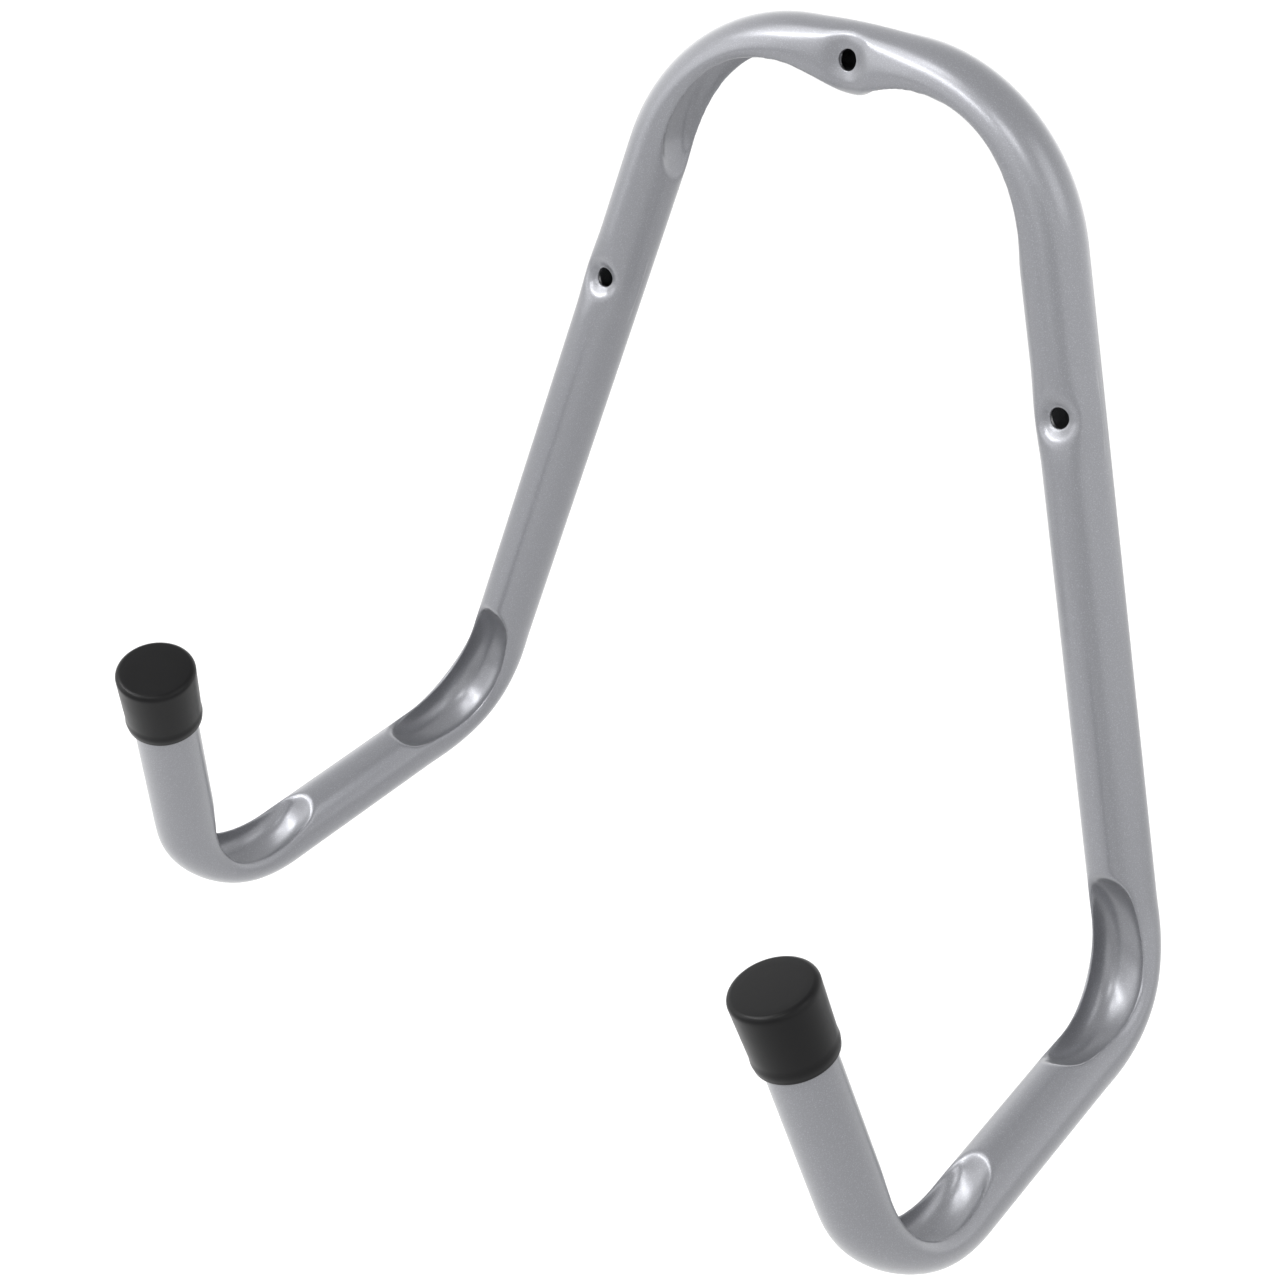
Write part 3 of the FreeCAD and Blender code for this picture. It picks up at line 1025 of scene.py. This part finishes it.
@dataclass
class Studio:
    """Pale floor, soft lights and the camera at the photograph's angle."""

    camera_place: tuple[float, float, float] = (0.46556, -0.66628, 0.13755)
    azimuth: float = 39.400
    elevation: float = 23.645
    roll: float = 4.735
    focal_pixels: float = 2414.95
    picture_pixels: int = 1280
    sensor_mm: float = 36.0
    floor_level: float = -0.78
    floor_half_span: float = 6.0
    ceiling_light: float = 0.95
    wall_light: float = 1.82
    ceiling_from: float = 0.12
    gap_azimuth: float = 24.0
    gap_light: float = 0.56
    gap_edge: float = 0.9
    gap_full: float = 0.985
    clip_end: float = 50.0
    hook_middle: tuple[float, float, float] = (0.0, -0.08, -0.15)

    def floor(self) -> bpy.types.Object:
        """A wide plain floor, well below the hanging hook."""
        far, level = self.floor_half_span, self.floor_level
        corners = [(-far, -far, level), (far, -far, level), (far, far, level), (-far, far, level)]
        mesh = bpy.data.meshes.new("studio_floor")
        mesh.from_pydata(corners, [], [(0, 1, 2, 3)])
        mesh.materials.append(StudioPaper().build())
        floor = bpy.data.objects.new("studio_floor", mesh)
        bpy.context.scene.collection.objects.link(floor)
        return floor

    def softbox(self, name: str, azimuth: float, elevation: float, distance: float,
                size: tuple[float, float], power: float) -> None:
        """Hang a rectangular soft light that faces the hook.

        Args:
            name: The light's name.
            azimuth: Degrees to the right of straight ahead of the wall.
            elevation: Degrees over the hook's middle.
            distance: Metres from the hook's middle.
            size: Its width and height.
            power: Its power in watts.
        """
        aim = Vector(self.hook_middle)
        az, el = math.radians(azimuth), math.radians(elevation)
        way = Vector((math.sin(az) * math.cos(el), -math.cos(az) * math.cos(el), math.sin(el)))
        light = bpy.data.lights.new(name, "AREA")
        light.shape = "RECTANGLE"
        light.size, light.size_y = size
        light.energy = power
        holder = bpy.data.objects.new(name, light)
        holder.location = aim + way * distance
        holder.rotation_euler = (-way).to_track_quat("-Z", "Y").to_euler()
        bpy.context.scene.collection.objects.link(holder)

    def lights(self) -> None:
        """White walls under a dimmer ceiling, a long strip light on the left, and softboxes on both sides."""
        world = bpy.data.worlds.new("studio_room")
        bpy.context.scene.world = world
        world.use_nodes = True
        tree = world.node_tree
        tree.nodes.clear()
        way = add_node(tree, "ShaderNodeTexCoord").outputs["Generated"]
        height = add_node(tree, "ShaderNodeSeparateXYZ", None, {"Vector": way}).outputs["Z"]
        strength = add_node(tree, "ShaderNodeMapRange",
                            {"interpolation_type": "SMOOTHSTEP", "From Min": self.ceiling_from,
                             "From Max": 1.0, "To Min": self.wall_light, "To Max": self.ceiling_light},
                            {"Value": height})
        # The room is dimmer on the side where the photographer stands.
        gap = math.radians(self.gap_azimuth)
        nearness = add_node(tree, "ShaderNodeVectorMath", {"operation": "DOT_PRODUCT"}, {0: way})
        nearness.inputs[1].default_value = (math.sin(gap), -math.cos(gap), 0.0)
        share = add_node(tree, "ShaderNodeMapRange",
                         {"interpolation_type": "SMOOTHSTEP", "From Min": self.gap_edge,
                          "From Max": self.gap_full, "To Min": 1.0, "To Max": self.gap_light},
                         {"Value": nearness.outputs["Value"]})
        lit = add_node(tree, "ShaderNodeMath", {"operation": "MULTIPLY"},
                       {0: strength.outputs["Result"], 1: share.outputs["Result"]})
        ground = add_node(tree, "ShaderNodeBackground", {"Color": linear("ffffff")},
                          {"Strength": lit.outputs["Value"]})
        add_node(tree, "ShaderNodeOutputWorld", None, {"Surface": ground.outputs["Background"]})
        self.softbox("left_strip", -30.0, 34.0, 1.5, (1.1, 0.18), 9.0)
        self.softbox("left_softbox", -50.0, 42.0, 1.6, (0.8, 0.8), 6.0)
        self.softbox("high_softbox", -30.0, 52.0, 1.7, (0.4, 0.35), 2.8)
        self.softbox("low_softbox", -50.0, 5.0, 1.6, (0.8, 0.8), 2.4)
        self.softbox("front_softbox", 18.0, 42.0, 1.7, (0.4, 0.35), 3.2)
        self.softbox("right_softbox", 90.0, 42.0, 1.6, (0.8, 0.8), 3.2)

    def camera(self) -> None:
        """The camera, found by fitting the tube's outline to the photograph."""
        az, el, roll = (math.radians(value) for value in (self.azimuth, self.elevation, self.roll))
        back = Vector((math.sin(az) * math.cos(el), -math.cos(az) * math.cos(el), math.sin(el)))
        level = (-back).cross(Vector((0.0, 0.0, 1.0))).normalized()
        upright = level.cross(-back)
        right = level * math.cos(roll) + upright * math.sin(roll)
        up = upright * math.cos(roll) - level * math.sin(roll)
        data = bpy.data.cameras.new("photo_camera")
        data.sensor_width = self.sensor_mm
        data.lens = self.focal_pixels / self.picture_pixels * self.sensor_mm
        data.clip_end = self.clip_end
        camera = bpy.data.objects.new("photo_camera", data)
        turn = Matrix((right, up, back)).transposed().to_4x4()
        camera.matrix_world = Matrix.Translation(self.camera_place) @ turn
        bpy.context.scene.collection.objects.link(camera)
        bpy.context.scene.camera = camera


def dress(piece: bpy.types.Object, material: bpy.types.Material, node: str) -> None:
    """Give a piece its finish, hang it on the root and hide the solid that it stands for.

    Args:
        piece: The new piece.
        material: Its material.
        node: The solid that it replaces.
    """
    piece.data.materials.append(material)
    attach(piece, "root")
    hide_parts(node)
    log.info("%s stands for %s", piece.name, node)


def main() -> None:
    """Build the tube, the caps and the studio in order."""
    logging.basicConfig(level=logging.INFO, format="%(message)s")
    tube = BentTube()
    dress(tube.build(), SilverPowderCoat().build(), "bent_tube")
    vinyl = DippedVinyl().build()
    for side in Side:
        dress(EndCap(side).build(tube), vinyl, side.name.lower() + "_end_cap")
    studio = Studio()
    studio.floor()
    studio.lights()
    studio.camera()
    # The photograph's white ground stays white under the plain transform.
    bpy.context.scene.view_settings.view_transform = "Standard"


if __name__ == "__main__":
    main()
